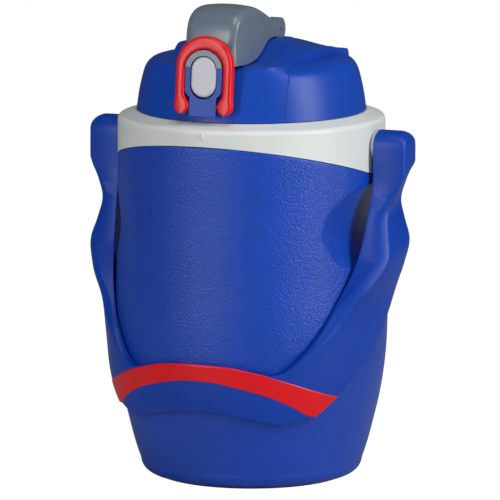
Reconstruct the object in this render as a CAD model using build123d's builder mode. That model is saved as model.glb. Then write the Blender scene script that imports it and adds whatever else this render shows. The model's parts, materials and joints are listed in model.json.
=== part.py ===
"""Insulated water jug with a flip cap, a screw lid and a swing handle.

Millimetres, +Z up, origin on the floor under the middle of the body.
The front (button, lock ring, handle band) faces -Y; the handle swings about a line along X.
"""
import os
from math import cos, radians, sin

from build123d import *

os.makedirs("parts", exist_ok=True)

# --- Driving dimensions ---------------------------------------------------------------
gap = 0.3                    # clearance between pieces of different bodies
wall = 2.8                   # outer casing wall
lift_up = (Align.CENTER, Align.CENTER, Align.MIN)

# Body
body_r = 75.0                # casing radius at its straight top
belly_r = 76.6               # widest radius, a third of the way up
casing_top_z = 198.0         # top of the lip hidden by the collar
lip_r = 72.1                 # outer radius of that lip
lip_in_r = 69.6
lip_z = 160.0                # where the wall thickens into the lip
seam_z = 172.5               # height of the parting line's point at the sides
seam_rise = 0.287            # how fast the parting line climbs towards front and back
seam_gap = 0.5               # shadow groove along the parting line
dimple_z = 144.5             # finger hollows behind the handle arms
dimple_floor = 66.5          # distance from the axis to a hollow's floor
dimple_tube = 41.0           # vertical radius of a hollow
dimple_sweep = 170.0         # horizontal radius of a hollow's floor

# Foot and base
foot_r = 53.4
groove_in_r = 26.0           # shallow ring groove under the foot pad
groove_out_r = 44.0
base_r = 54.0

# Liner
tank_r = 61.5
tank_floor_z = 11.5
tank_wall = 2.0
neck_r = 54.0
neck_top_z = 223.0
thread_depth = 1.5
thread_pitch = 5.0

# Collar
collar_r = 74.9
collar_top_z = 206.5

# Handle
pivot_z = 189.5              # height of the swing axis
arm_in_x = 77.4              # inner face of the arms
arm_out_x = 96.0             # widest point of the arms
arm_half = 9.35              # half the depth of an arm at its top
arm_round = 7.0
band_gap = 0.6               # between band and casing when stowed
trim_depth = 1.6             # thickness of the coloured trim let into the band
pin_r = 4.0
pin_clear = 0.05
bush_r = 5.8
flange_thick = 1.3
# Half section of the arms' and band's outer face, from the band's foot to an arm's top.
arm_waves = [
    (74.4, 34), (77.6, 46), (80.4, 62), (82.2, 80),
    (85.2, 105), (92.7, 134), (87.4, 156), (arm_out_x, 180),
]
# Side view of the handle: rear and front outlines, from the arm down to the band's middle.
handle_rear = [
    (arm_half, 138), (10.5, 112), (1, 94), (-16.7, 74.3),
    (-37.5, 53.8), (-50, 42.5), (-58, 39), (-86, 48.5),
]
handle_front = [
    (-arm_half, 160), (-14.5, 143), (-26.4, 118), (-44, 92.5),
    (-58, 76.6), (-66, 70.5), (-86, 74.8),
]
# Side view of the coloured trim: upper and lower outlines.
trim_upper = [(-86, 75.6), (-76.6, 73.2), (-66, 67.4), (-51, 59), (-34, 51)]
trim_lower = [(-86, 67), (-76.6, 64.4), (-66, 55.4), (-55, 47.2), (-48, 40)]

# Lid
lid_r = 64.3
lid_base_z = 207.0
ridge_half = 41.0            # half width of the raised strip across the lid
ridge_proud = 1.0
lid_wall = 2.4
# Half section of the lid beside the ridge, and side view of the ridge's crown.
lid_side = [
    (lid_r, lid_base_z), (63.1, 215.5), (60.9, 225.8), (59.1, 231),
    (55.8, 234.8), (50, 236.5), (38, 237),
]
ridge_line = [
    (-64, 227), (-58.5, 234), (-51, 236.6), (-36, 237), (-23, 240),
    (-10, 245.2), (4, 246.6), (30, 243.2), (56, 231), (64, 221),
]

# Cap and its hinge
hinge_y = 13.0
hinge_z = 250.0
knuckle_r = 6.9
knuckle_end = 12.3
lug_half = 6.0
spring_room = 4.2
cap_wall = 2.0
hinge_pin_r = 1.2
cap_reach = 73.7             # how far the cap may reach from its hinge axis
# Side view of the hood: its crown from the front foot to the knuckle, and its lower edge.
cap_upper = [
    (-62.3, 237.9), (-58.7, 252), (-55, 262), (-48.5, 267.8),
    (-35, 269.5), (-16, 266.2), (2, 259.8), (11, 256.3),
]
cap_lower = [(-62.3, 237.9), (-38, 238), (-22.6, 241.3), (-9.7, 246.8), (1, 247.4), (8, 247.4)]
# Half plan of the hood from the back corner round to the middle of the front.
cap_plan = [(12.3, 21), (13.2, 3), (16.2, -32), (16.9, -50), (14.6, -58.6), (8, -61.7), (0, -62.6)]

# Spout and vent
spout_y = -32.0
spout_r = 9.0
spout_top_z = 258.0
vent_y = -15.0
vent_r = 2.2

# Lock ring, button and boss lie in one plane that leans back with the lid's front.
# Places in it are given up from the lock ring's pivot and out from that plane.
front_lean = 6.0
lock_pivot_y = -67.4
lock_pivot_z = 216.0
lock_pin_r = 0.9
ring_out_r = 16.75
ring_in_r = 11.3
ring_front = 2.7
ring_back = -2.4
arch_up = 22.0               # middle of the ring's outer arch
arch_in_up = 20.0            # middle of the ring's inner arch
boss_front = 1.7
bezel_foot = 21.5
button_half = 7.5
button_low = 5.0
button_high = 27.5
button_front = 2.4
button_back = -2.2
well_floor = -5.0
rocker_up = 17.0
rocker_out = -4.0
button_pin_r = 0.9
spring_up = 9.5

front = Plane(
    origin=(0, lock_pivot_y, lock_pivot_z),
    x_dir=(1, 0, 0),
    z_dir=(0, -cos(radians(front_lean)), sin(radians(front_lean))),
)


def finish(part, name):
    """Label a finished piece and write it as its own STEP file."""
    part.label = name
    export_step(part, f"parts/{name}.step")


# --- Shared outlines ------------------------------------------------------------------
# Half section of the casing: corner, flare, belly and a nearly straight top.
flare = [
    (62.4, 9.0), (64.3, 14.5), (68.8, 31), (72.3, 46),
    (75.2, 65), (belly_r, 92), (75.6, 122), (body_r, 150),
]


def body_section(growth):
    """Closed half section of the solid body, grown outwards by growth."""
    points = [(r + growth, z) for r, z in flare]
    with BuildSketch(Plane.XZ) as section:
        with BuildLine():
            side = Spline(points, tangents=[(0.2, 1), (0, 1)])
            wall_line = Line(side @ 1, (body_r + growth, casing_top_z))
            lid_line = Line(wall_line @ 1, (0, casing_top_z))
            axis = Line(lid_line @ 1, (0, 1 - growth))
            floor = Line(axis @ 1, (base_r, 1 - growth))
            TangentArc(floor @ 1, side @ 0, tangent=(1, 0))
        make_face()
    return section.sketch


def seam_region(offset):
    """Side view of everything above the parting line, raised by offset."""
    reach = 100
    edge_z = seam_z + seam_rise * reach + offset
    with BuildSketch(Plane.YZ) as region:
        with BuildLine():
            Polyline(
                (-reach, edge_z), (0, seam_z + offset), (reach, edge_z),
                (reach, 260), (-reach, 260), close=True,
            )
        make_face()
        fillet(region.vertices().sort_by(Axis.Y)[0], radius=38)
    return region.sketch


def dimple_tools(extra):
    """The pair of rings that press the finger hollows into the casing."""
    with BuildPart() as tools:
        for side in (-1, 1):
            with Locations((-side * (dimple_sweep - dimple_floor), 0, dimple_z)):
                Torus(dimple_sweep + dimple_tube, dimple_tube + extra)
    return tools.part


with BuildPart() as above_seam:
    extrude(seam_region(0), amount=100, both=True)
    Cylinder(lip_r, 600, mode=Mode.SUBTRACT)

# --- Casing, base, foam, liner and collar ---------------------------------------------
def casing_space(growth):
    """The room inside the casing, with its narrow lip and the backs of the hollows."""
    with BuildPart() as space:
        revolve(body_section(growth), axis=Axis.Z)
        with BuildSketch(Plane.XZ):
            with Locations((lip_in_r + wall + growth, lip_z + wall + growth)):
                Rectangle(20, 60, align=(Align.MIN, Align.MIN))
        revolve(axis=Axis.Z, mode=Mode.SUBTRACT)
        add(dimple_tools(-growth), mode=Mode.SUBTRACT)
    return space.part


def side_holes(radius, start_x):
    """Round holes along the swing axis, open to both sides."""
    with BuildPart() as holes:
        for side in (-1, 1):
            with BuildSketch(Plane(origin=(side * start_x, 0, pivot_z), z_dir=(side, 0, 0))):
                Circle(radius)
            extrude(amount=40)
    return holes.part


with BuildPart() as outer_shell:
    revolve(body_section(0), axis=Axis.Z)
    add(dimple_tools(0), mode=Mode.SUBTRACT)
    add(casing_space(-wall), mode=Mode.SUBTRACT)
    Cylinder(base_r + 0.2, 20, mode=Mode.SUBTRACT)
    add(above_seam.part, mode=Mode.SUBTRACT)
    add(side_holes(bush_r + 0.1, 60), mode=Mode.SUBTRACT)
finish(outer_shell.part, "outer_shell")

with BuildPart() as base_plate:
    with BuildSketch(Plane.XZ):
        with BuildLine():
            Polyline(
                (0, 3.4), (foot_r + 0.1, 3.4), (foot_r + 0.1, 1), (base_r, 1), (base_r, 4.2),
                (base_r + 1.6, 4.2), (base_r + 1.6, 6.4), (0, 6.4), close=True,
            )
        make_face()
    revolve(axis=Axis.Z)
finish(base_plate.part, "base_plate")

with BuildPart() as foot_pad:
    Cylinder(foot_r, 3.4, align=lift_up)
    fillet(foot_pad.edges().group_by(Axis.Z)[0], radius=0.8)
    with BuildSketch(Plane.XY):
        Circle(groove_out_r)
        Circle(groove_in_r, mode=Mode.SUBTRACT)
    extrude(amount=1.2, mode=Mode.SUBTRACT)
finish(foot_pad.part, "foot_pad")


def tank_section(growth):
    """Half section of the solid liner, grown outwards by growth."""
    with BuildSketch(Plane.XZ) as section:
        with BuildLine():
            Polyline(
                (0, tank_floor_z - growth), (46 + growth, tank_floor_z - growth),
                (tank_r + growth, 46), (tank_r + growth, 172 + growth / 2),
                (neck_r + growth, 186 + growth / 2), (neck_r + growth, neck_top_z),
                (0, neck_top_z), close=True,
            )
        make_face()
        fillet(section.vertices().group_by(Axis.Y)[0].sort_by(Axis.X)[-1], radius=12)
        fillet(section.vertices().group_by(Axis.X)[-1], radius=8)
    return section.sketch


def thread(radius, depth, bottom_z):
    """One and a half turns of thread rib that stands out (or in, for a negative depth)."""
    rib_root = radius - 0.3 if depth > 0 else radius + 0.3
    with BuildPart() as rib:
        with BuildLine() as path:
            Helix(thread_pitch, 1.4 * thread_pitch, rib_root, center=(0, 0, bottom_z))
        with BuildSketch(Plane(origin=path.line @ 0, x_dir=(1, 0, 0), z_dir=path.line % 0)):
            with BuildLine():
                tip = radius + depth - rib_root
                Polyline((0, -1.1), (tip, -0.5), (tip, 0.5), (0, 1.1), close=True)
            make_face()
        sweep(path=path.line, is_frenet=True)
    return rib.part


with BuildPart() as tank_inside:
    revolve(tank_section(-tank_wall), axis=Axis.Z)

with BuildPart() as inner_tank:
    revolve(tank_section(0), axis=Axis.Z)
    add(tank_inside.part, mode=Mode.SUBTRACT)
    add(thread(neck_r, thread_depth, 212))
finish(inner_tank.part, "inner_tank")

with BuildPart() as foam_insulation:
    add(casing_space(-wall - 0.3))
    split(bisect_by=Plane.XY.offset(6.8), keep=Keep.TOP)
    split(bisect_by=Plane.XY.offset(196), keep=Keep.BOTTOM)
    revolve(tank_section(0.3), axis=Axis.Z, mode=Mode.SUBTRACT)
    add(side_holes(bush_r + 0.3, 60), mode=Mode.SUBTRACT)
finish(foam_insulation.part, "foam_insulation")

with BuildPart() as below_seam:
    extrude(seam_region(seam_gap), amount=100, both=True)

with BuildPart() as collar:
    with BuildSketch(Plane.XZ) as collar_section:
        with BuildLine():
            Polyline(
                (lip_r + 0.2, 170), (collar_r, 170), (collar_r, 203.2), (65, collar_top_z),
                (neck_r + 0.3, collar_top_z), (neck_r + 0.3, 203.6), (64.6, 203.6),
                (lip_r + 0.2, 200.8), close=True,
            )
        make_face()
        fillet(collar_section.vertices().group_by(Axis.X)[-1].sort_by(Axis.Y)[-1], radius=3)
    revolve(axis=Axis.Z)
    add(below_seam.part, mode=Mode.INTERSECT)
    add(side_holes(bush_r + 0.1, 60), mode=Mode.SUBTRACT)
    with BuildSketch(Plane(origin=(1.5, -collar_r - 0.4, 200), x_dir=(1, 0, 0), z_dir=(0, -1, 0))):
        RegularPolygon(2.6, 3, rotation=90)
        RegularPolygon(1.5, 3, rotation=90, mode=Mode.SUBTRACT)
    extrude(amount=-1.2)
finish(collar.part, "collar")

# --- Swing handle ---------------------------------------------------------------------
print("handle")
for side, side_name in ((-1, "left"), (1, "right")):
    face_in = Plane(origin=(side * 66, 0, pivot_z), z_dir=(side, 0, 0))
    with BuildPart() as bush:
        with BuildSketch(face_in.offset(collar_r + 0.3 - 66)):
            Circle(8)
        extrude(amount=flange_thick)
        with BuildSketch(face_in):
            Circle(bush_r)
        extrude(amount=collar_r + 0.3 - 66)
        with BuildSketch(face_in):
            Circle(pin_r + pin_clear)
        extrude(amount=20, mode=Mode.SUBTRACT)
    finish(bush.part, f"{side_name}_pivot_bush")

    with BuildPart() as pin:
        with BuildSketch(face_in.offset(1)):
            Circle(pin_r)
        extrude(amount=arm_in_x + 7 - 67)
        chamfer(pin.edges(), length=0.5)
    finish(pin.part, f"{side_name}_pivot_pin")

with BuildPart() as handle_room:
    with BuildSketch(Plane.XZ):
        with BuildLine():
            spaced = [(r + band_gap, z) for r, z in flare[1:5]]
            room_side = Spline(spaced + [(arm_in_x, 92)], tangents=[(0.3, 1), (0, 1)])
            Polyline(room_side @ 1, (arm_in_x, 210), (0, 210), (0, flare[1][1]), room_side @ 0)
        make_face()
    revolve(axis=Axis.Z)

with BuildPart() as handle_reach:
    with BuildSketch(Plane.XZ):
        with BuildLine():
            arm_side = Spline(arm_waves, tangents=[(0.4, 1), (0, 1)])
            arm_line = Line(arm_side @ 1, (arm_out_x, pivot_z + arm_half - arm_round))
            arm_top = JernArc(arm_line @ 1, (0, 1), arm_round, 90)
            Polyline(arm_top @ 1, (0, pivot_z + arm_half), (0, arm_waves[0][1]), arm_side @ 0)
        make_face()
    revolve(axis=Axis.Z)

with BuildPart() as trim_zone:
    with BuildSketch(Plane.YZ):
        with BuildLine():
            trim_top = Spline(trim_upper)
            trim_low = Spline(trim_lower)
            Line(trim_top @ 1, trim_low @ 1)
            Line(trim_top @ 0, trim_low @ 0)
        make_face()
    extrude(amount=90, both=True)

with BuildPart() as trim_bed:
    with BuildSketch(Plane.XZ):
        with BuildLine():
            bed_side = Spline([(r - trim_depth, z) for r, z in arm_waves[:5]])
            Polyline(bed_side @ 1, (0, arm_waves[4][1]), (0, arm_waves[0][1]), bed_side @ 0)
        make_face()
    revolve(axis=Axis.Z)

with BuildPart() as handle_shape:
    with BuildSketch(Plane.YZ):
        with BuildLine():
            top_arc = ThreePointArc((-arm_half, pivot_z), (0, pivot_z + arm_half), (arm_half, pivot_z))
            Line(top_arc @ 1, handle_rear[0])
            rear_curve = Spline(handle_rear, tangents=[(0, -1), (-1, 0.2)])
            Line(top_arc @ 0, handle_front[0])
            front_curve = Spline(handle_front, tangents=[(0, -1), (-1, 0.4)])
            Line(rear_curve @ 1, front_curve @ 1)
        make_face()
    extrude(amount=100, both=True)
    add(handle_reach.part, mode=Mode.INTERSECT)
    add(handle_room.part, mode=Mode.SUBTRACT)

with BuildPart() as handle_trim:
    add(handle_shape.part)
    add(trim_zone.part, mode=Mode.INTERSECT)
    add(trim_bed.part, mode=Mode.SUBTRACT)
finish(handle_trim.part, "handle_trim")

with BuildPart() as handle_frame:
    add(handle_shape.part)
    add(handle_trim.part, mode=Mode.SUBTRACT)
    for side in (-1, 1):
        with BuildSketch(Plane(origin=(side * 70, 0, pivot_z), z_dir=(side, 0, 0))):
            Circle(pin_r)
        extrude(amount=arm_in_x + 7.2 - 70, mode=Mode.SUBTRACT)
finish(handle_frame.part, "handle_frame")

# --- Lid, spout and valve -------------------------------------------------------------
print("lid")


def lid_body(shrink):
    """The closed outer form of the lid, drawn in by shrink for the hollow inside."""
    low_z = lid_base_z - 2
    reach = ridge_proud - shrink
    with BuildPart() as ridge:
        with BuildSketch(Plane.YZ):
            with BuildLine():
                top = Spline([(y, z - shrink) for y, z in ridge_line])
                Polyline(top @ 1, (70, low_z), (-70, low_z), top @ 0)
            make_face()
        extrude(amount=ridge_half - shrink, both=True)
        with BuildSketch(Plane.XZ):
            with BuildLine():
                Polyline(
                    (0, low_z), (lid_r + reach, low_z), (63.1 + reach, 215.5), (60.9 + reach, 225.8),
                    (57.4 + reach, 240), (55.5 + reach, 250), (0, 250), close=True,
                )
            make_face()
        revolve(axis=Axis.Z, mode=Mode.INTERSECT)
    with BuildPart() as form:
        with BuildSketch(Plane.XZ):
            with BuildLine():
                lowered = [(r - shrink, z - shrink * (z > 230)) for r, z in lid_side]
                side = Spline(lowered, tangents=[(-0.15, 1), (-1, 0.05)])
                middle_z = lid_side[-1][1] - shrink
                Polyline(side @ 1, (0, middle_z), (0, low_z), (lid_r - shrink, low_z), side @ 0)
            make_face()
        revolve(axis=Axis.Z)
        add(ridge.part)
    return form.part


def beside(y, z):
    """A plane square to X through the middle, with its origin at (y, z)."""
    return Plane(origin=(0, y, z), x_dir=(0, 1, 0), z_dir=(1, 0, 0))


def front_spot(up, out):
    """Y and Z of a spot in the front plane's own terms."""
    spot = front.from_local_coords((0, up, out))
    return spot.Y, spot.Z


hinge = beside(hinge_y, hinge_z)
rocker = beside(*front_spot(rocker_up, rocker_out))
lock_axis = beside(lock_pivot_y, lock_pivot_z)

with BuildPart() as boss:
    with BuildSketch(front.offset(boss_front)):
        with BuildLine():
            Polyline(
                (-8, -5.5), (8, -5.5), (8, 4.4), (10.9, 8),
                (10.9, bezel_foot), (-10.9, bezel_foot), (-10.9, 8), (-8, 4.4), close=True,
            )
        make_face()
    extrude(amount=-boss_front - 8.2)
    with BuildSketch(hinge):
        Circle(cap_reach + 0.6)
    extrude(amount=20, both=True, mode=Mode.SUBTRACT)

with BuildPart() as button_well:
    with BuildSketch(front.offset(10)):
        with Locations((0, arch_in_up)):
            Circle(button_half + 0.4)
        with Locations((0, button_low - 1.1 + button_half + 0.4)):
            Circle(button_half + 0.4)
        with Locations((0, (arch_in_up + button_low - 0.7 + button_half) / 2)):
            Rectangle(2 * button_half + 0.8, arch_in_up - button_low + 0.7 - button_half)
    extrude(amount=-10 + well_floor)
    with BuildSketch(rocker):
        Circle(2.6)
    extrude(amount=5.4, both=True)

with BuildPart() as lid_shell:
    add(lid_body(0))
    add(lid_body(lid_wall), mode=Mode.SUBTRACT)
    split(bisect_by=Plane.XY.offset(lid_base_z), keep=Keep.TOP)
    with Locations((0, hinge_y, 238.5)):
        Box(30, 20, 6.6, align=lift_up)
    add(boss.part)
    add(button_well.part, mode=Mode.SUBTRACT)
    with BuildSketch(hinge):
        Circle(knuckle_r + 0.4)
    extrude(amount=knuckle_end + 1.2, both=True, mode=Mode.SUBTRACT)
    with BuildSketch(hinge):
        Circle(knuckle_r - 0.3)
        with Locations((0, -5)):
            Rectangle(9, 8)
    extrude(amount=lug_half, both=True)
    with BuildSketch(hinge):
        Circle(spring_room)
    extrude(amount=2.6, both=True, mode=Mode.SUBTRACT)
    with BuildSketch(hinge):
        Circle(hinge_pin_r)
    extrude(amount=lug_half, both=True, mode=Mode.SUBTRACT)
    with BuildSketch(rocker):
        Circle(button_pin_r)
    extrude(amount=9, both=True, mode=Mode.SUBTRACT)
    with BuildSketch(lock_axis):
        Circle(lock_pin_r)
    extrude(amount=9, both=True, mode=Mode.SUBTRACT)
    for side in (-1, 1):
        with BuildSketch(lock_axis.offset(side * 8.05)):
            Circle(5.6)
        extrude(amount=side * 9.6, mode=Mode.SUBTRACT)
    for hole_y, hole_r in ((spout_y, spout_r + 0.2), (vent_y, vent_r + 0.1)):
        with BuildSketch(Plane.XY.offset(230)):
            with Locations((0, hole_y)):
                Circle(hole_r)
        extrude(amount=25, mode=Mode.SUBTRACT)
finish(lid_shell.part, "lid_shell")

with BuildPart() as lid_liner:
    with BuildSketch(Plane.XZ):
        with BuildLine():
            Polyline(
                (57, 208.5), (58.3, 208.5), (57.6, 227), (0, 227), (0, 224.6), (46.5, 224.6), (46.5, 212),
                (51.3, 212), (51.3, 213.7), (49.7, 213.7), (49.7, 219.3),
                (51.3, 219.3), (51.3, 224.6), (57, 224.6), close=True,
            )
        make_face()
    revolve(axis=Axis.Z)
    add(thread(57, -1.1, 210))
    for hole_y, hole_r in ((spout_y, spout_r + 0.2), (vent_y, vent_r + 0.1)):
        with BuildSketch(Plane.XY.offset(220)):
            with Locations((0, hole_y)):
                Circle(hole_r)
        extrude(amount=10, mode=Mode.SUBTRACT)
finish(lid_liner.part, "lid_liner")

with BuildPart() as lid_gasket:
    with BuildSketch(Plane.XZ):
        with BuildLine():
            Polyline(
                (50, 214), (51.7, 214), (51.2, 215.6), (51.7, 216.5),
                (51.2, 217.4), (51.7, 219), (50, 219), close=True,
            )
        make_face()
    revolve(axis=Axis.Z)
finish(lid_gasket.part, "lid_gasket")

with BuildPart() as spout:
    for z, height, radius in ((214, 24, spout_r), (227.2, 2.6, spout_r + 3)):
        with BuildSketch(Plane.XY.offset(z)):
            with Locations((0, spout_y)):
                Circle(radius)
        extrude(amount=height)
    with BuildSketch(Plane.XY.offset(238)):
        with Locations((0, spout_y)):
            Circle(spout_r)
    with BuildSketch(Plane.XY.offset(spout_top_z)):
        with Locations((0, spout_y)):
            Ellipse(10.5, 7.4)
    loft()
    with BuildSketch(Plane.XY.offset(214)):
        with Locations((0, spout_y)):
            Circle(6.6)
    extrude(amount=24, mode=Mode.SUBTRACT)
    with BuildSketch(Plane.XY.offset(238)):
        with Locations((0, spout_y)):
            Circle(6.6)
    with BuildSketch(Plane.XY.offset(spout_top_z)):
        with Locations((0, spout_y)):
            Ellipse(8.4, 5.2)
    loft(mode=Mode.SUBTRACT)
    fillet(spout.edges().group_by(Axis.Z)[-1], radius=0.7)
finish(spout.part, "spout")

with BuildPart() as vent_valve:
    for z, height, radius in ((222, 27, vent_r), (227.2, 1.5, vent_r + 1), (249, 2, vent_r + 1.2)):
        with BuildSketch(Plane.XY.offset(z)):
            with Locations((0, vent_y)):
                Circle(radius)
        extrude(amount=height)
    fillet(vent_valve.edges().group_by(Axis.Z)[-1], radius=0.9)
finish(vent_valve.part, "vent_valve")

with BuildPart() as latch_bezel:
    with BuildSketch(front.offset(boss_front)):
        with Locations((0, arch_in_up)):
            Circle(ring_in_r - gap)
            Circle(button_half + 0.4, mode=Mode.SUBTRACT)
        with Locations((0, bezel_foot - 20)):
            Rectangle(40, 40, mode=Mode.SUBTRACT)
    extrude(amount=-boss_front - ring_back)
finish(latch_bezel.part, "latch_bezel")

# --- Cap, its hinge and its seal ------------------------------------------------------
print("cap")


def cap_outline():
    """Side view of the whole hood with its knuckle."""
    with BuildSketch(Plane.YZ) as outline:
        with BuildLine():
            upper = Spline(cap_upper, tangents=[(0.3, 1), (1, -0.6)])
            lower = Spline(cap_lower, tangents=[(1, 0), (1, 0)])
            Polyline(upper @ 1, (hinge_y, hinge_z), lower @ 1)
        make_face()
        with Locations((hinge_y, hinge_z)):
            Circle(knuckle_r)
    return outline.sketch


def hollow_outline():
    """Side view of the room under the hood, open at the bottom and ending ahead of the knuckle."""
    squeeze = 1 - cap_wall / 37
    with BuildSketch(Plane.YZ) as outline:
        with BuildLine():
            upper = Spline([((y + 25) * squeeze - 25, z - cap_wall) for y, z in cap_upper[:-1]])
            Polyline(upper @ 1, (3, 250), (3, 230), (cap_upper[0][0] + cap_wall, 230), upper @ 0)
        make_face()
    return outline.sketch


def hood(outline, shrink):
    """A side view pulled across the jug and rounded off by the hood's plan."""
    with BuildPart() as form:
        extrude(outline, amount=20, both=True)
        with BuildSketch(Plane.XY):
            with BuildLine():
                side = [(x - shrink, y) for x, y in cap_plan[:-1]]
                plan = Spline(side + [(0, cap_plan[-1][1] + shrink)], tangents=[(0.1, -1), (-1, 0)])
                Polyline(plan @ 0, (0, cap_plan[0][1]), plan @ 1)
            make_face()
            mirror(about=Plane.YZ)
        extrude(amount=300, mode=Mode.INTERSECT)
    return form.part


with BuildPart() as knuckles:
    for side in (-1, 1):
        with BuildSketch(hinge.offset(side * (lug_half + 0.25))):
            Circle(knuckle_r)
            Circle(hinge_pin_r + pin_clear, mode=Mode.SUBTRACT)
        extrude(amount=side * (knuckle_end - lug_half - 0.25))

with BuildPart() as cap_shell:
    add(hood(cap_outline(), 0))
    with BuildSketch(hinge):
        Circle(cap_reach)
    extrude(amount=30, both=True, mode=Mode.INTERSECT)
    add(hood(hollow_outline(), cap_wall), mode=Mode.SUBTRACT)
    with BuildSketch(hinge):
        Circle(knuckle_r + 0.3)
    extrude(amount=lug_half + 0.25, both=True, mode=Mode.SUBTRACT)
    with BuildSketch(hinge):
        Circle(knuckle_r - 1.5)
    extrude(amount=knuckle_end, both=True, mode=Mode.SUBTRACT)
    add(knuckles.part)
finish(cap_shell.part, "cap_shell")

with BuildPart() as cap_seal:
    with BuildSketch(Plane.XY.offset(spout_top_z + 0.4)):
        with Locations((0, spout_y)):
            Ellipse(11, 8.4)
    extrude(amount=4.4)
    with BuildSketch(Plane.XY.offset(251.4)):
        with Locations((0, vent_y)):
            Circle(vent_r + 1.4)
    extrude(amount=10)
finish(cap_seal.part, "cap_seal")

with BuildPart() as cap_hinge_pin:
    with BuildSketch(hinge):
        Circle(hinge_pin_r)
    extrude(amount=knuckle_end - 0.3, both=True)
finish(cap_hinge_pin.part, "cap_hinge_pin")


def coil(middle, mean_r, wire_r, pitch, length):
    """A coil spring along the plane's normal, centred on its origin."""
    with BuildPart() as spring:
        with BuildLine():
            start = middle.origin - middle.z_dir * length / 2
            path = Helix(pitch, length, mean_r, center=start, direction=middle.z_dir)
        with BuildSketch(Plane(origin=path @ 0, z_dir=path % 0)):
            Circle(wire_r)
        sweep(path=path, is_frenet=True)
    return spring.part


finish(coil(hinge, 2.9, 0.4, 1.0, 4), "cap_spring")

# --- Button and lock ring -------------------------------------------------------------
with BuildPart() as button:
    with BuildSketch(front.offset(button_back)):
        with Locations((0, (button_low + button_high) / 2)):
            SlotOverall(button_high - button_low, 2 * button_half, rotation=90)
    extrude(amount=button_front - button_back)
    fillet(button.faces().sort_by(Axis(front.origin, front.z_dir))[-1].edges(), radius=1.4)
    with BuildSketch(front.offset(button_back)):
        with Locations((0, spring_up)):
            Circle(2.9)
    extrude(amount=1.2, mode=Mode.SUBTRACT)
    with BuildSketch(rocker):
        Circle(1.9)
    extrude(amount=5, both=True)
    with BuildSketch(rocker):
        Circle(button_pin_r + pin_clear)
    extrude(amount=5, both=True, mode=Mode.SUBTRACT)
finish(button.part, "button")

with BuildPart() as button_pin:
    with BuildSketch(rocker):
        Circle(button_pin_r)
    extrude(amount=9, both=True)
finish(button_pin.part, "button_pin")

spring_mid = (button_back + 1.2 + well_floor) / 2
spring_seat = front.from_local_coords((0, spring_up, spring_mid))
spring_plane = Plane(origin=spring_seat, x_dir=(1, 0, 0), z_dir=front.z_dir)
finish(coil(spring_plane, 2.1, 0.3, 0.9, button_back + 0.5 - well_floor), "button_spring")

with BuildPart() as lock_ring:
    with BuildSketch(front.offset(ring_front)):
        with Locations((0, arch_up)):
            Circle(ring_out_r)
        with Locations((0, arch_up / 2)):
            Rectangle(2 * ring_out_r, arch_up)
        with Locations((0, arch_in_up)):
            Circle(ring_in_r, mode=Mode.SUBTRACT)
        with Locations((0, arch_in_up - 20)):
            Rectangle(2 * ring_in_r, 40, mode=Mode.SUBTRACT)
        with Locations((-12.8, 0), (12.8, 0)):
            Circle(4.45)
    extrude(amount=ring_back - ring_front)
    for side in (-1, 1):
        with BuildSketch(lock_axis):
            Circle(lock_pin_r + pin_clear)
        extrude(amount=side * 15.4, mode=Mode.SUBTRACT)
finish(lock_ring.part, "lock_ring")

with BuildPart() as lock_pin:
    with BuildSketch(lock_axis):
        Circle(lock_pin_r)
    extrude(amount=15, both=True)
finish(lock_pin.part, "lock_pin")
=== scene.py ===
# %% [markdown]
# # An insulated water jug with a swing handle
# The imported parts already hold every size, fit and joint. This lesson gives them their looks:
# it gives each piece a finish made of nodes, sets up a pale studio, and remakes the moulded outer
# pieces as smooth meshes. Blender works in metres; sizes below are written in millimetres and
# scaled down when a mesh is made.

import json
import math

import bmesh
import bpy
import numpy as np
from mathutils import Matrix, Vector


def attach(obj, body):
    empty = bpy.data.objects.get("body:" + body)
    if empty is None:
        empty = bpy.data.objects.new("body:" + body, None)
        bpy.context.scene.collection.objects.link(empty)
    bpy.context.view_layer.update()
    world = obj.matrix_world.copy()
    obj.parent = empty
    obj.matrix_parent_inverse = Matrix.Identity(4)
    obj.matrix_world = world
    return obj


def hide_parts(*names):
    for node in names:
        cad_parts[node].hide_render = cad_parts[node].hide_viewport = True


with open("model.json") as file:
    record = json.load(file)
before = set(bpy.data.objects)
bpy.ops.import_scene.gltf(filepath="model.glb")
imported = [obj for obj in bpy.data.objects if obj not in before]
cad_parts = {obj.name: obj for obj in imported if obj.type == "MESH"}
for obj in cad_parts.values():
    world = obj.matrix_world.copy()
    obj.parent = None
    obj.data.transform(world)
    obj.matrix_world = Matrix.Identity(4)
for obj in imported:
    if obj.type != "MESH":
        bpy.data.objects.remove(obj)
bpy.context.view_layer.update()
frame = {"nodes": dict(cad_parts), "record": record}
nodes = frame["nodes"]


def mm(value):
    """Millimetres to the scene's metres."""
    return value * 0.001


print("pieces in the frame:", len(nodes))

# %% [markdown]
# A moulded plastic part is never one flat colour. Its colour and its gloss drift a little from
# place to place, and a fine grain breaks up the highlight. One function builds that: a slow noise
# moves the colour and the roughness, and a fine noise drives a bump for the grain. Colours are
# linear, as a shader wants them.

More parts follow.
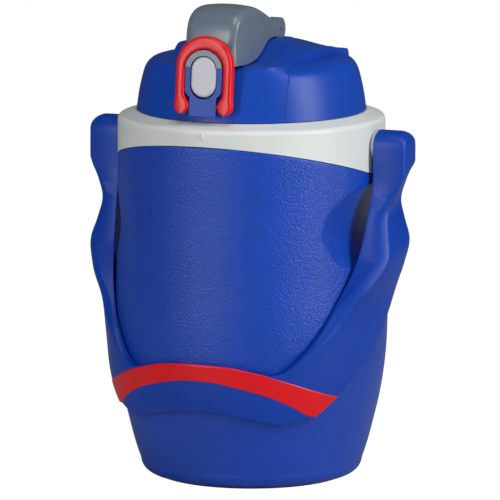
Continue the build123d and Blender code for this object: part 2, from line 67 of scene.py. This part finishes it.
# %% A moulded plastic
def plastic(name, colour, rough=0.4, grain=0.0, grain_size=900, drift=0.08, see_in=0.0, shine=0.5):
    """A moulded plastic with slow colour drift, uneven gloss and a grain of the given depth."""
    made = bpy.data.materials.new(name)
    made.use_nodes = True
    tree = made.node_tree
    shader = tree.nodes["Principled BSDF"]
    place = tree.nodes.new("ShaderNodeTexCoord")
    cloud = tree.nodes.new("ShaderNodeTexNoise")
    cloud.inputs["Scale"].default_value = 22
    cloud.inputs["Detail"].default_value = 3
    tree.links.new(place.outputs["Object"], cloud.inputs["Vector"])
    tint = tree.nodes.new("ShaderNodeValToRGB")
    for stop, spread in ((0, 1 - drift), (1, 1 + drift)):
        tint.color_ramp.elements[stop].color = [min(1, c * spread) for c in colour] + [1]
    tint.color_ramp.elements[0].position = 0.3
    tint.color_ramp.elements[1].position = 0.7
    tree.links.new(cloud.outputs["Fac"], tint.inputs["Fac"])
    tree.links.new(tint.outputs["Color"], shader.inputs["Base Color"])
    fine = tree.nodes.new("ShaderNodeTexNoise")
    fine.inputs["Scale"].default_value = grain_size
    fine.inputs["Detail"].default_value = 2.5
    tree.links.new(place.outputs["Object"], fine.inputs["Vector"])
    gloss = tree.nodes.new("ShaderNodeMapRange")
    gloss.inputs["To Min"].default_value = rough - 0.05
    gloss.inputs["To Max"].default_value = rough + 0.05
    tree.links.new(cloud.outputs["Fac"], gloss.inputs["Value"])
    tree.links.new(gloss.outputs["Result"], shader.inputs["Roughness"])
    relief = tree.nodes.new("ShaderNodeBump")
    relief.inputs["Strength"].default_value = 1.0
    relief.inputs["Distance"].default_value = mm(max(grain, 0.004))
    tree.links.new(fine.outputs["Fac"], relief.inputs["Height"])
    tree.links.new(relief.outputs["Normal"], shader.inputs["Normal"])
    shader.inputs["Specular IOR Level"].default_value = shine
    shader.inputs["Subsurface Weight"].default_value = see_in
    shader.inputs["Subsurface Radius"].default_value = (0.004, 0.004, 0.004)
    return made


def metal(name, colour, rough):
    """Drawn steel: the same tree with a metal surface and a fine pull grain."""
    made = plastic(name, colour, rough=rough, grain=0.01, grain_size=2500, drift=0.1)
    made.node_tree.nodes["Principled BSDF"].inputs["Metallic"].default_value = 1.0
    return made


finishes = {
    "casing_blue": plastic(
        "pebbled_blue", (0.002, 0.052, 0.42), rough=0.29, grain=0.55, grain_size=950, drift=0.06, shine=0.45
    ),
    "handle_blue": plastic("satin_blue", (0.002, 0.045, 0.36), rough=0.40, grain=0.02, shine=0.3),
    "lid_blue": plastic("lid_blue_moulding", (0.002, 0.052, 0.39), rough=0.40, grain=0.015, shine=0.35),
    "collar_white": plastic(
        "collar_white_moulding", (0.67, 0.70, 0.68), rough=0.45, grain=0.015, drift=0.02, see_in=0.05
    ),
    "cap_grey": plastic("cap_grey_moulding", (0.13, 0.165, 0.215), rough=0.27, grain=0.01),
    "trim_red": plastic(
        "signal_red_moulding", (0.72, 0.004, 0.008), rough=0.30, grain=0.01, drift=0.05, shine=0.35
    ),
    "button_grey": plastic("button_pale_grey", (0.56, 0.55, 0.60), rough=0.42, grain=0.012, drift=0.03),
    "liner_white": plastic("food_white", (0.78, 0.79, 0.78), rough=0.35, grain=0.01, drift=0.02, see_in=0.1),
    "foam": plastic("foam_cells", (0.82, 0.78, 0.62), rough=0.85, grain=0.4, grain_size=400, drift=0.12),
    "seal": plastic("silicone", (0.70, 0.72, 0.72), rough=0.5, grain=0.02, drift=0.04, see_in=0.15),
    "foot_rubber": plastic("foot_rubber_black", (0.02, 0.02, 0.023), rough=0.75, grain=0.05, drift=0.2),
    "steel": metal("drawn_steel", (0.56, 0.56, 0.57), rough=0.28),
}
for part in frame["record"]["subparts"]:
    holder = nodes[part["node"]].data.materials
    holder.clear()
    holder.append(finishes[part["material_slot"]])
print("finishes:", ", ".join(finishes))

# %% [markdown]
# The studio comes next, so that every later piece can be looked at. The camera stands well back
# with a long lens, a little above the lid and turned 23 degrees to the jug's right, so that the
# front button and one handle arm both show.

# %% Camera
view_turn = math.radians(23)
view_far = 3.70
view_high = 0.714
camera = bpy.data.objects.new("camera", bpy.data.cameras.new("camera"))
bpy.context.scene.collection.objects.link(camera)
camera.location = (math.sin(view_turn) * view_far, -math.cos(view_turn) * view_far, view_high)
aim = Vector((-mm(0.84) * math.cos(view_turn), -mm(0.84) * math.sin(view_turn), 0.1262))
camera.rotation_mode = "QUATERNION"
camera.rotation_quaternion = (aim - camera.location).to_track_quat("-Z", "Y")
camera.data.sensor_width = 36
camera.data.lens = 480.4
camera.data.clip_start = 0.1
camera.data.clip_end = 20
bpy.context.scene.camera = camera
bpy.context.scene.view_settings.view_transform = "Standard"

print("camera at", [round(v, 3) for v in camera.location])

# %% [markdown]
# The floor and the world look white to the camera, but they light the jug only faintly, so that
# its left side stays deep. A light path node tells the two kinds of look apart.

# %% Floor and world
ground = bmesh.new()
bmesh.ops.create_grid(ground, x_segments=4, y_segments=4, size=4)
floor_mesh = bpy.data.meshes.new("studio_floor")
ground.to_mesh(floor_mesh)
ground.free()
floor = bpy.data.objects.new("studio_floor", floor_mesh)
bpy.context.scene.collection.objects.link(floor)
floor_paint = plastic("pale_floor", (0.5, 0.5, 0.5), rough=0.7, drift=0.01)
paint = floor_paint.node_tree
glow = paint.nodes.new("ShaderNodeEmission")
blend = paint.nodes.new("ShaderNodeMixShader")
seen = paint.nodes.new("ShaderNodeLightPath")
share = paint.nodes.new("ShaderNodeMath")
share.operation = "MULTIPLY"
share.inputs[1].default_value = 0.86
paint.links.new(seen.outputs["Is Camera Ray"], share.inputs[0])
paint.links.new(share.outputs["Value"], blend.inputs["Fac"])
paint.links.new(paint.nodes["Principled BSDF"].outputs["BSDF"], blend.inputs[1])
paint.links.new(glow.outputs["Emission"], blend.inputs[2])
paint.links.new(blend.outputs["Shader"], paint.nodes["Material Output"].inputs["Surface"])
glow.inputs["Strength"].default_value = 1.16
floor.data.materials.append(floor_paint)

world = bpy.data.worlds.new("pale_world")
world.use_nodes = True
sky = world.node_tree
backdrop = sky.nodes["Background"]
backdrop.inputs["Color"].default_value = (1, 1, 1, 1)
brightness = sky.nodes.new("ShaderNodeMapRange")
looked_at = sky.nodes.new("ShaderNodeLightPath")
brightness.inputs["To Min"].default_value = 0.08
brightness.inputs["To Max"].default_value = 1.0
sky.links.new(looked_at.outputs["Is Camera Ray"], brightness.inputs["Value"])
sky.links.new(brightness.outputs["Result"], backdrop.inputs["Strength"])
bpy.context.scene.world = world
print("floor and world are in place")


# %% [markdown]
# A tall key light on the right and a slim strip on the left draw the upright highlights on the
# casing, and a soft box above fills the lid.

# %% Lights
def soft_box(name, turn, far, high, size, power, tint=(1, 1, 1)):
    """A soft rectangular light aimed at the jug's middle; turn is measured like the camera's."""
    lamp = bpy.data.lights.new(name, "AREA")
    lamp.shape = "RECTANGLE"
    lamp.size, lamp.size_y = size
    lamp.energy = power
    lamp.color = tint
    light = bpy.data.objects.new(name, lamp)
    angle = math.radians(turn)
    light.location = (math.sin(angle) * far, -math.cos(angle) * far, high)
    light.rotation_mode = "QUATERNION"
    light.rotation_quaternion = (Vector((0, 0, 0.13)) - light.location).to_track_quat("-Z", "Y")
    bpy.context.scene.collection.objects.link(light)
    return light


soft_box("key", 82, 1.4, 0.7, (0.45, 1.2), 17)
soft_box("left_strip", -17, 1.5, 0.5, (0.2, 1.2), 10)
soft_box("overhead", 30, 0.6, 1.6, (0.8, 0.8), 8)
print("three soft boxes are lit")

# %% [markdown]
# The visible mouldings are remade as smooth closed skins. Each skin is a row of rings: a ring is a
# closed loop of points, and neighbouring rings are joined by faces. Curves are given by a few
# points and read through `flow`, which runs smoothly through them.

# %% Tools for smooth skins
def flow(points, at):
    """Height of the smooth curve through the points, read at the given places."""
    across, up = np.array(points, float).T
    slope = np.gradient(up, across)
    at = np.asarray(at, float)
    piece = np.clip(np.searchsorted(across, at) - 1, 0, len(across) - 2)
    span = across[piece + 1] - across[piece]
    t = np.clip((at - across[piece]) / span, 0, 1)
    start = (2 * t**3 - 3 * t**2 + 1) * up[piece] + (t**3 - 2 * t**2 + t) * span * slope[piece]
    end = (3 * t**2 - 2 * t**3) * up[piece + 1] + (t**3 - t**2) * span * slope[piece + 1]
    return start + end


def path(points, count, ease=1.0):
    """A smooth run of points through the given ones, evenly spread along their length."""
    points = np.array(points, float)
    steps = np.r_[0, np.cumsum(np.linalg.norm(np.diff(points, axis=0), axis=1) ** ease)]
    at = np.linspace(0, steps[-1], count)
    return np.stack([flow(np.stack([steps, column], 1), at) for column in points.T], 1)


def step(value, low, high):
    """A soft step from 0 at low to 1 at high."""
    t = np.clip((np.asarray(value, float) - low) / (high - low), 0, 1)
    return t * t * (3 - 2 * t)


def skin(name, rings, body, slot, stands_for, around=False, sharp=32):
    """A closed smooth piece from rings of points in millimetres; around joins the last to the first."""
    rings = np.asarray(rings, float)
    count, size = rings.shape[:2]
    form = bmesh.new()
    spots = [form.verts.new(spot) for spot in rings.reshape(-1, 3) * 0.001]
    for row in range(count if around else count - 1):
        here = row * size
        there = (row + 1) % count * size
        for k in range(size):
            n = (k + 1) % size
            form.faces.new((spots[here + k], spots[here + n], spots[there + n], spots[there + k]))
    if not around:
        for row in (0, (count - 1) * size):
            middle = form.verts.new(rings[row // size].mean(0) * 0.001)
            for k in range(size):
                form.faces.new((spots[row + k], spots[row + (k + 1) % size], middle))
    bmesh.ops.remove_doubles(form, verts=form.verts, dist=1e-6)
    bmesh.ops.dissolve_degenerate(form, edges=form.edges, dist=1e-7)
    bmesh.ops.recalc_face_normals(form, faces=form.faces)
    return settle(name, form, body, slot, stands_for, sharp)


def settle(name, form, body, slot, stands_for, sharp=32):
    """Turn a finished form into a piece: shading, finish, body and the nodes that it stands for."""
    mesh = bpy.data.meshes.new(name)
    form.to_mesh(mesh)
    form.free()
    for face in mesh.polygons:
        face.use_smooth = True
    mesh.set_sharp_from_angle(angle=math.radians(sharp))
    mesh.materials.append(finishes[slot])
    piece = bpy.data.objects.new(name, mesh)
    bpy.context.scene.collection.objects.link(piece)
    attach(piece, body)
    if stands_for:
        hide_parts(*stands_for)
    print(name, len(mesh.polygons), "faces")
    return piece


def around_z(radius, turn, height):
    """Points at a radius, a turn from the front towards +X, and a height."""
    turn = np.radians(turn)
    parts = np.broadcast_arrays(radius * np.sin(turn), -radius * np.cos(turn), height)
    return np.stack(parts, -1)


# %% [markdown]
# The casing is a round body that flares up from a narrow foot, with a soft finger hollow behind
# each handle arm. A hollow is a wide ring pressed into the wall; a soft minimum melts its rim into
# the body. The wall's top edge follows the parting line, which is low at the sides and high in
# front and behind, and the thin lip above it carries the collar.

# %% Casing
casing_line = [
    (9, 62.4), (14.5, 64.3), (31, 68.8), (46, 72.3), (65, 75.2),
    (92, 76.6), (122, 75.6), (150, 75), (200, 75),
]
hollow_z = 144.5
hollow_tube = 41
hollow_sweep = 170
hollow_floor = 66.5
lip_out = 72.1
lip_in = 69.6
lip_low = 156
wall = 2.8
foot_r = 54
corner_r = 8.41
melt = 0.5


def casing_radius(turn, height):
    """Radius of the casing, hollows included, at a turn and a height."""
    body = flow(casing_line, height)
    off = np.clip(np.abs(height - hollow_z), 0, hollow_tube - 0.5)
    ring = hollow_sweep + hollow_tube - np.sqrt(hollow_tube**2 - off**2)
    offset = hollow_sweep - hollow_floor
    across = np.abs(np.sin(np.radians(turn)))
    ahead = np.cos(np.radians(turn))
    ring_radius = -offset * across + np.sqrt(np.maximum(ring**2 - (offset * ahead) ** 2, 1))
    gap = np.clip(0.5 + 0.5 * (ring_radius - body) / melt, 0, 1)
    return ring_radius * (1 - gap) + body * gap - melt * gap * (1 - gap) * 0.5


def seam_height(turn):
    """Height of the parting line at a turn."""
    ahead = 75 * np.cos(np.radians(turn))
    return 172.5 + 0.287 * np.sqrt(ahead**2 + 27)


corner_turn = np.radians(np.linspace(0, 86, 12))
casing_rings = []
for turn in np.arange(0, 360, 1.0):
    top = seam_height(turn)
    heights = np.r_[np.linspace(9, 105, 40)[:-1], np.linspace(105, top - 0.7, 52)]
    outer = np.stack([casing_radius(turn, heights), heights], 1)
    edge = casing_radius(turn, top - 0.7)
    rim = [(edge - 0.2, top - 0.2), (edge - 0.7, top), (lip_out - 0.05, top)]
    lip = [(lip_out, top + 0.6), (lip_out, 197.6), (lip_out - 0.4, 198), (lip_in + 0.4, 198), (lip_in, 197.6)]
    inside_z = np.linspace(176, 9, 50)
    inside_r = np.minimum(casing_radius(turn, inside_z) - wall, np.where(inside_z > lip_low, lip_in, 99))
    inside = np.stack([inside_r, inside_z], 1)
    foot = [(foot_r + 5.6 * math.sin(a), 9.4 - 5.6 * math.cos(a)) for a in corner_turn[::-1]]
    under = [(foot_r + corner_r * math.sin(a), 1 + corner_r - corner_r * math.cos(a)) for a in corner_turn]
    hem = [(foot_r + 0.2, 3.8), (foot_r + 0.2, 1.0)]
    loop = np.array([*outer, *rim, *lip, *inside, *foot[1:], *hem, *under[1:]])
    casing_rings.append(around_z(loop[:, 0], turn, loop[:, 1]))
skin("casing", casing_rings, "vessel", "casing_blue", ["outer_shell"], around=True)

# %% [markdown]
# The handle is one strip that hangs round the front as a band and rises on both sides into two
# thick arms. It is drawn by pairs of places on its front edge and its rear edge, each a turn
# and a height. The outer face swells and dips along the arms, and the scoops lie at a slant. The
# front edge has a wide chamfer on the arms that fades out on the band.

# %% Handle
front_edge = [
    (0, 73.4), (8, 73.1), (15, 72.2), (22.4, 70.2), (29, 68.3), (33.5, 68.4), (38, 71.5), (43, 77.5),
    (51.6, 89.7), (57.2, 100), (62.3, 109.8), (67.1, 118.5), (71.7, 127.5), (75.6, 139.5), (79, 152),
    (82.4, 165), (83.06, 172), (83.06, 181), (83.06, 189.5),
]
rear_edge = [
    (0, 46.1), (9, 45.4), (18, 43.7), (31, 40), (37.7, 38.8), (44.5, 41.2), (51.3, 45.1), (60, 53.8),
    (70.6, 66.4), (77.6, 74.3), (82.6, 82.4), (87.4, 91.1), (92, 102), (95.6, 114), (97, 128),
    (96.94, 142), (96.94, 158), (96.94, 174), (96.94, 189.5),
]
waves = [
    (34, 74.2), (46, 77.3), (62, 80.1), (80, 81.8), (105, 85.0), (120, 89.6), (134, 92.5), (146, 89.4),
    (156, 87.5), (167, 90.6), (180, 95.9), (192, 95.9), (199, 95.9),
]
pivot_z = 189.5
arm_half = 9.35
arm_in = 77.4
round_from = 191.85
round_r = 7


def handle_outer(height, slant=0.0):
    """Radius of the handle's outer face at a height; slant moves the scoops up or down."""
    moved = height + slant * step(height, 96, 118) * (1 - step(height, 176, 184))
    crown = round_r - np.sqrt(np.maximum(round_r**2 - np.clip(height - round_from, 0, round_r) ** 2, 0))
    return np.minimum(flow(waves, moved), 95.9) - crown


def handle_inner(height):
    """Radius of the handle's inner face, just clear of the casing."""
    return np.where(height > 92, arm_in, np.minimum(flow(casing_line, height) + 0.6, arm_in))


pairs = path(np.hstack([front_edge, rear_edge]), 120)
tops = np.radians(np.linspace(0, 88, 18)[1:])
top_turn = np.degrees(np.arcsin(arm_half * np.cos(tops) / arm_in))
top_z = pivot_z + arm_half * np.sin(tops)
pairs = np.vstack([pairs, np.stack([90 - top_turn, top_z, 90 + top_turn, top_z], 1)])


def handle_ring(front_turn, front_z, rear_turn, rear_z):
    """One cut through the strip, as a closed loop of points."""
    middle_r = float(handle_inner((front_z + rear_z) / 2))
    wide = math.hypot(math.radians(rear_turn - front_turn) * middle_r, rear_z - front_z)
    arm = float(step(front_turn, 40, 60))
    chamfer = min((0.8 + 3.4 * arm) * (1 - 0.62 * float(step(front_z, 156, 172))), wide * 0.35)
    soft = min(1.5, wide * 0.3)
    small = min(0.7, wide * 0.2)
    quarter = np.radians(np.linspace(0, 90, 6))
    inner = [(across, 0, 0) for across in np.linspace(small, wide - small, 9)]
    inner_rear = [(wide - small + small * np.sin(q), small - small * np.cos(q), 0) for q in quarter[1:]]
    outer_rear = [(wide - soft + soft * np.cos(q), 0, soft - soft * np.sin(q)) for q in quarter[:-1]]
    outer = [(across, 0, 0.0001) for across in np.linspace(wide - soft, chamfer, 17)]
    drop = chamfer * (0.55 + 0.35 * arm)
    bevel = [(chamfer * (1 - f), 0, drop * f**1.25) for f in (0.2, 0.5, 0.8)]
    bevel += [(0, 0, drop + 0.5)]
    inner_front = [(small - small * np.cos(q), small - small * np.sin(q), 0) for q in quarter[:-1]]
    spots = []
    for across, above, below in inner + inner_rear + outer_rear + outer + bevel + inner_front:
        share = across / wide
        turn = front_turn + (rear_turn - front_turn) * share
        height = front_z + (rear_z - front_z) * share
        low_r = float(handle_inner(height))
        high_r = float(handle_outer(height, 5 - 9 * share))
        radius = high_r - below if below else low_r + above
        level = float(step(turn, 50, 78))
        ahead = -low_r * math.cos(math.radians(turn))
        flat_turn = math.degrees(math.acos(max(-1, min(1, -ahead / radius))))
        spots.append(around_z(radius, turn * (1 - level) + flat_turn * level, height))
    return np.array(spots)


half_rings = np.array([handle_ring(*pair) for pair in pairs])
mirrored = half_rings[:0:-1] * (-1, 1, 1)
handle_rings = np.vstack([mirrored, half_rings])
skin("handle", handle_rings, "handle", "handle_blue", ["handle_frame"], sharp=28)

# %% [markdown]
# A red crescent lies on the band. It stands a hair proud of it, wraps its upper edge and runs out
# to a slanted tip on each side.

# %% Red crescent
crescent_upper = [
    (0, 73.9), (8, 73.6), (15, 72.7), (22.4, 70.6), (30.6, 67.6),
    (39, 63.8), (48.7, 59.1), (57, 55.4), (60.5, 54.2),
]
crescent_lower = [(0, 64.4), (5.7, 64.2), (18.3, 60.8), (30.6, 55.6), (40.3, 49.3), (47.4, 44), (50.2, 43.2)]
proud = 0.25
deep = 1.5
upper = path(crescent_upper, 70)
lower = path(crescent_lower, 70)
crescent_rings = []
for high, low in zip(upper, lower):
    tall = high[1] - low[1]
    shares = np.r_[0, 0.25 / tall, 0.7 / tall, np.linspace(0.09, 0.91, 9), 1 - 0.7 / tall, 1 - 0.25 / tall, 1]
    lifts = np.r_[proud - 0.6, proud - 0.18, proud, np.full(9, proud), proud, proud - 0.18, proud - 0.6]
    loop = []
    for share, lift in [*zip(shares, lifts), (1, -deep), (0.5, -deep), (0, -deep)]:
        turn, height = low + (high - low) * share
        loop.append(around_z(float(handle_outer(height)) + lift, turn, height))
    crescent_rings.append(loop)
crescent_rings = np.array(crescent_rings)
skin(
    "crescent", np.vstack([crescent_rings[:0:-1] * (-1, 1, 1), crescent_rings]),
    "handle", "trim_red", ["handle_trim"], sharp=40,
)

# %% [markdown]
# Bores and slots are carved with rods that lie along X, which is how all the hinge lines run. The
# same rods can be joined on, as hinge barrels. A rod is thrown away once it has done its work.

# %% Rods that carve or join
hinge_y = 13
hinge_z = 250


def rod(radius, low_x, high_x, y, z, sides=64):
    """A plain rod along X, as a throwaway object that joins or cuts a piece."""
    form = bmesh.new()
    bmesh.ops.create_cone(
        form, cap_ends=True, segments=sides, radius1=mm(radius), radius2=mm(radius), depth=mm(high_x - low_x)
    )
    bmesh.ops.rotate(form, verts=form.verts, matrix=Matrix.Rotation(math.pi / 2, 3, "Y"))
    bmesh.ops.translate(form, verts=form.verts, vec=(mm((low_x + high_x) / 2), mm(y), mm(z)))
    mesh = bpy.data.meshes.new("rod")
    form.to_mesh(mesh)
    form.free()
    tool = bpy.data.objects.new("rod", mesh)
    bpy.context.scene.collection.objects.link(tool)
    return tool


def carve(piece, tools, operation="DIFFERENCE", sharp=32):
    """Cut the tools from a piece, or join them to it, and throw the tools away."""
    for tool in tools:
        change = piece.modifiers.new("carve", "BOOLEAN")
        change.operation = operation
        change.solver = "EXACT"
        change.object = tool
    bpy.context.view_layer.update()
    result = bpy.data.meshes.new_from_object(piece.evaluated_get(bpy.context.evaluated_depsgraph_get()))
    piece.modifiers.clear()
    old = piece.data
    piece.data = result
    bpy.data.meshes.remove(old)
    for tool in tools:
        bpy.data.objects.remove(tool)
    for face in result.polygons:
        face.use_smooth = True
        face.material_index = 0
    result.set_sharp_from_angle(angle=math.radians(sharp))
    print(piece.name, operation.lower(), len(result.polygons), "faces")


# %% [markdown]
# The flip cap is a hood. Upright cuts across it are rounded arches, and each cut has its own
# crown, hem and half width. Nothing may stand further from the hinge line than the cap's reach,
# or it would strike the lid's front when it opens, so the front foot is pulled in to that arc.

# %% The hood's arches
crown_line = [
    (-62.0, 238.6), (-60.6, 245), (-58.9, 252), (-56.8, 258.5), (-54.6, 262.8),
    (-51.2, 266.2), (-46.5, 268.3), (-38, 269.4), (-30, 268.8), (-22, 267.2),
    (-12, 264.3), (-4, 261.5), (3, 259.0), (8, 257.4), (12.5, 256.4),
]
hem_line = [(-63, 237.9), (-38, 238.1), (-30, 239.2), (-22.6, 241.3), (-9.7, 246.6), (1, 247.5), (14, 247.5)]
half_plan = [
    (-62.6, 2), (-62, 8.2), (-60.5, 12.4), (-58.4, 14.7), (-54, 16.2),
    (-48, 16.8), (-32, 16.2), (3, 13.2), (14, 12.7),
]
cap_reach = 73.6
cap_grid = []
for y, crown in path(crown_line, 110):
    hem = min(float(flow(hem_line, y)), crown - 0.3)
    half = float(flow(half_plan, y))
    corner = min(4.6, half * 0.5, (crown - hem) * 0.4)
    bow = min(0.8, (crown - hem) * 0.1)
    side = [(half - 0.9 * step(z, hem, crown), z) for z in np.linspace(hem, crown - corner - bow, 12)]
    last_x, last_z = side[-1]
    turn = np.radians(np.linspace(0, 78, 10)[1:])
    bend = [(last_x - corner + corner * math.cos(a), last_z + corner * math.sin(a)) for a in turn]
    end_x, end_z = bend[-1]
    roof = [(end_x * (1 - f), end_z + (crown - end_z) * (1 - (1 - f) ** 2)) for f in np.linspace(0, 1, 8)[1:]]
    half_arch = side + bend + roof
    arch = half_arch + [(-x, z) for x, z in half_arch[-2::-1]]
    cap_grid.append([(x, max(y, hinge_y - math.sqrt(cap_reach**2 - (z - hinge_z) ** 2)), z) for x, z in arch])
cap_grid = np.array(cap_grid)
print("arches in the hood:", len(cap_grid))

# %% [markdown]
# The arches are joined into a skin and thickened into a wall. Two barrels at the back take the
# hinge pin, and the slot between them clears the lid's lug.

# %% Flip cap
hood_wall = 1.8
barrel_r = 6.9
barrel_mid = 9.3
barrel_half = 3
slot_half = 6.27
slot_r = 7.25
bore_r = 1.26
rows, columns = cap_grid.shape[:2]
hood = bmesh.new()
spots = [hood.verts.new(spot) for spot in cap_grid.reshape(-1, 3) * 0.001]
for row in range(rows - 1):
    for k in range(columns - 1):
        first = row * columns + k
        hood.faces.new((spots[first], spots[first + 1], spots[first + columns + 1], spots[first + columns]))
hood.normal_update()
if sum(face.normal.z for face in hood.faces) < 0:
    bmesh.ops.reverse_faces(hood, faces=hood.faces)
bmesh.ops.solidify(hood, geom=hood.faces[:], thickness=mm(hood_wall))
bmesh.ops.remove_doubles(hood, verts=hood.verts, dist=2e-5)
bmesh.ops.recalc_face_normals(hood, faces=hood.faces)
cap = settle("flip_cap", hood, "cap", "cap_grey", ["cap_shell"])
barrels = [
    rod(barrel_r, side * barrel_mid - barrel_half, side * barrel_mid + barrel_half, hinge_y, hinge_z)
    for side in (-1, 1)
]
carve(cap, barrels, "UNION")
lug_slot = rod(slot_r, -slot_half, slot_half, hinge_y, hinge_z)
carve(cap, [lug_slot, rod(bore_r, -14, 14, hinge_y, hinge_z, sides=32)])

# %% [markdown]
# The lid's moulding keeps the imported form, but its raised strip is softened: behind the front wall
# the strip narrows to a waist on each side, and its rear corners sink towards the dome. The long
# faces are split first so that they can bend.

# %% Lid
lid_form = bmesh.new()
lid_form.from_mesh(nodes["lid_shell"].data)
for _ in range(3):
    long_edges = [
        edge for edge in lid_form.edges
        if edge.calc_length() > mm(4) and max(end.co.z for end in edge.verts) > mm(229)
    ]
    bmesh.ops.subdivide_edges(lid_form, edges=long_edges, cuts=1)
    bmesh.ops.triangulate(lid_form, faces=[face for face in lid_form.faces if len(face.verts) > 4])
strip_half = 41
dome_z = 237
for vert in lid_form.verts:
    x, y, z = vert.co * 1000
    away = abs(x)
    waist = 5 * step(y, -54, -40) * (1 - step(y, -34, -2)) * step(away, 18, 38) * (1 - step(away, 42, 54))
    sink = step(away, 12, strip_half) * (0.42 * step(y, -40, 6) + 0.4 * step(y, 10, 45))
    if z > 232:
        x = math.copysign(away - waist * step(z, 232, 237), x)
    if z > dome_z:
        z = dome_z + (z - dome_z) * (1 - sink)
    vert.co = (x * 0.001, y * 0.001, z * 0.001)
bmesh.ops.recalc_face_normals(lid_form, faces=lid_form.faces)
settle("lid_moulding", lid_form, "lid", "lid_blue", ["lid_shell"], sharp=24)

# %% [markdown]
# The lock ring is a stirrup: two legs with rounded feet and an arch over the top. It lies in a
# plane that leans back a little with the lid's front, so its places are given as across and up in
# that plane, and a third number is the way out of it.

# %% Lock ring
front_lean = math.radians(6)
front_y = -67.4
front_z = 216.0


def on_front(across, up, out):
    """A place in the leaning front plane, in the jug's own axes."""
    y = front_y + up * math.sin(front_lean) - out * math.cos(front_lean)
    z = front_z + up * math.cos(front_lean) + out * math.sin(front_lean)
    return across, y, z


leg = [
    (13.4, -4.4, 12.3, -4.4), (14.8, -4.0, 10.8, -4.0), (16.0, -3.0, 9.5, -3.0), (16.9, -1.5, 8.6, -1.5),
    (17.2, 0.2, 8.4, 0.2), (17.1, 2.0, 8.9, 2.0), (16.9, 3.4, 10.0, 3.6), (16.8, 5.0, 11.0, 5.4),
    (16.75, 8, 11.3, 8), (16.75, 15, 11.3, 14), (16.75, 22, 11.3, 20),
]
bend = np.radians(np.linspace(0, 90, 19)[1:])
arch = [(16.75 * c, 22 + 16.75 * s, 11.3 * c, 20 + 11.3 * s) for c, s in zip(np.cos(bend), np.sin(bend))]
stations = np.array([*path(leg, 34, ease=0.8), *arch])
ring_back = -2.4
ring_front = 2.6
ring_cuts = []
for out_x, out_u, in_x, in_u in stations:
    wide = math.hypot(out_x - in_x, out_u - in_u)
    soft = min(1.7, wide * 0.42)
    small = min(0.6, wide * 0.3)
    quarter = np.radians(np.linspace(0, 90, 7))
    loop = [(soft - soft * math.cos(q), ring_front - soft + soft * math.sin(q)) for q in quarter]
    loop += [(wide / 2, ring_front + 0.08)]
    loop += [(wide - soft + soft * math.sin(q), ring_front - soft + soft * math.cos(q)) for q in quarter]
    loop += [(wide - small + small * math.cos(q), ring_back + small - small * math.sin(q)) for q in quarter]
    loop += [(small - small * math.sin(q), ring_back + small - small * math.cos(q)) for q in quarter]
    cut = []
    for across, out in loop:
        share = across / wide
        cut.append(on_front(out_x + (in_x - out_x) * share, out_u + (in_u - out_u) * share, out))
    ring_cuts.append(cut)
ring_cuts = np.array(ring_cuts)
ring_rows = np.vstack([ring_cuts, ring_cuts[-2::-1] * (-1, 1, 1)])
ring = skin("lock_stirrup", ring_rows, "lock_ring", "trim_red", ["lock_ring"], sharp=50)
foot_mid = 12
pin_bores = [
    rod(0.96, side * foot_mid - 3.4, side * foot_mid + 3.4, front_y, front_z, sides=32) for side in (-1, 1)
]
carve(ring, pin_bores, sharp=50)
